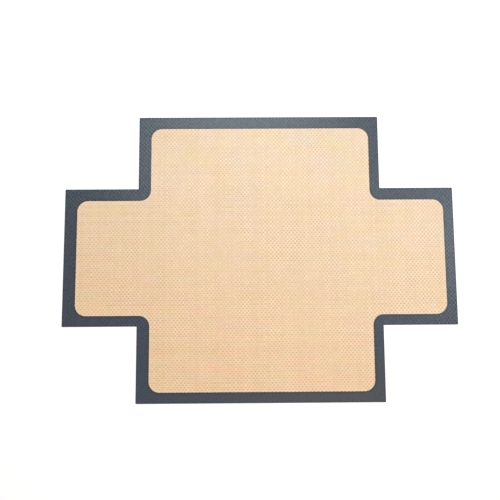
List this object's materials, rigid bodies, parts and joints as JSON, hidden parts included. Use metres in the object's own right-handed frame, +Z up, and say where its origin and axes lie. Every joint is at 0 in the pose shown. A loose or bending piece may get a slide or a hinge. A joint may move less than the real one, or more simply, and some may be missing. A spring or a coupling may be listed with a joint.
{
  "type": "silicone baking mat",
  "caption": "Flat cross-shaped baking mat of silicone-coated glass cloth with a printed edging, whose arms fold up to line a loaf tin.",
  "frame": {"origin": "on the table, under the middle of the mat's bounding box", "axes": "+X along the mat's longest side, +Y towards its back flap, +Z up, out of the baking face"},
  "size_m": [0.381, 0.2794, 0.0008],
  "materials": {
    "tan_silicone": "satin, with the relief of the cloth",
    "glass_cloth": "plain-woven glass fibre",
    "edging_silicone": "satin screen print"
  },
  "bodies": {
    "base": {"base_bottom_silicone": "tan_silicone", "base_glass_cloth": "glass_cloth", "base_top_silicone": "tan_silicone", "base_front_left_edging": "edging_silicone", "base_front_right_edging": "edging_silicone", "base_back_left_edging": "edging_silicone", "base_back_right_edging": "edging_silicone", "left_fold_bottom_silicone": "tan_silicone", "left_fold_glass_cloth": "glass_cloth", "left_fold_top_silicone": "tan_silicone", "left_fold_edging": "edging_silicone", "right_fold_bottom_silicone": "tan_silicone", "right_fold_glass_cloth": "glass_cloth", "right_fold_top_silicone": "tan_silicone", "right_fold_edging": "edging_silicone", "front_fold_bottom_silicone": "tan_silicone", "front_fold_glass_cloth": "glass_cloth", "front_fold_top_silicone": "tan_silicone", "front_fold_edging": "edging_silicone", "back_fold_bottom_silicone": "tan_silicone", "back_fold_glass_cloth": "glass_cloth", "back_fold_top_silicone": "tan_silicone", "back_fold_edging": "edging_silicone"},
    "left_flap": {"left_flap_bottom_silicone": "tan_silicone", "left_flap_glass_cloth": "glass_cloth", "left_flap_top_silicone": "tan_silicone", "left_flap_edging": "edging_silicone"},
    "right_flap": {"right_flap_bottom_silicone": "tan_silicone", "right_flap_glass_cloth": "glass_cloth", "right_flap_top_silicone": "tan_silicone", "right_flap_edging": "edging_silicone"},
    "front_flap": {"front_flap_bottom_silicone": "tan_silicone", "front_flap_glass_cloth": "glass_cloth", "front_flap_top_silicone": "tan_silicone", "front_flap_edging": "edging_silicone"},
    "back_flap": {"back_flap_bottom_silicone": "tan_silicone", "back_flap_glass_cloth": "glass_cloth", "back_flap_top_silicone": "tan_silicone", "back_flap_edging": "edging_silicone"}
  },
  "joints": [
    {"name": "left_flap_fold", "type": "hinge", "parent": "base", "child": "left_flap", "pos_m": [-0.12106, 0, 0.00099], "axis": [0, 1, 0], "range_deg": [0, 90], "stiffness_Nm_per_rad": 0.01, "deforming": ["left_fold_bottom_silicone", "left_fold_glass_cloth", "left_fold_top_silicone", "left_fold_edging"]},
    {"name": "right_flap_fold", "type": "hinge", "parent": "base", "child": "right_flap", "pos_m": [0.12106, 0, 0.00099], "axis": [0, -1, 0], "range_deg": [0, 90], "stiffness_Nm_per_rad": 0.01, "deforming": ["right_fold_bottom_silicone", "right_fold_glass_cloth", "right_fold_top_silicone", "right_fold_edging"]},
    {"name": "front_flap_fold", "type": "hinge", "parent": "base", "child": "front_flap", "pos_m": [0, -0.06946, 0.00099], "axis": [-1, 0, 0], "range_deg": [0, 90], "stiffness_Nm_per_rad": 0.018, "deforming": ["front_fold_bottom_silicone", "front_fold_glass_cloth", "front_fold_top_silicone", "front_fold_edging"]},
    {"name": "back_flap_fold", "type": "hinge", "parent": "base", "child": "back_flap", "pos_m": [0, 0.06946, 0.00099], "axis": [1, 0, 0], "range_deg": [0, 90], "stiffness_Nm_per_rad": 0.018, "deforming": ["back_fold_bottom_silicone", "back_fold_glass_cloth", "back_fold_top_silicone", "back_fold_edging"]}
  ]
}
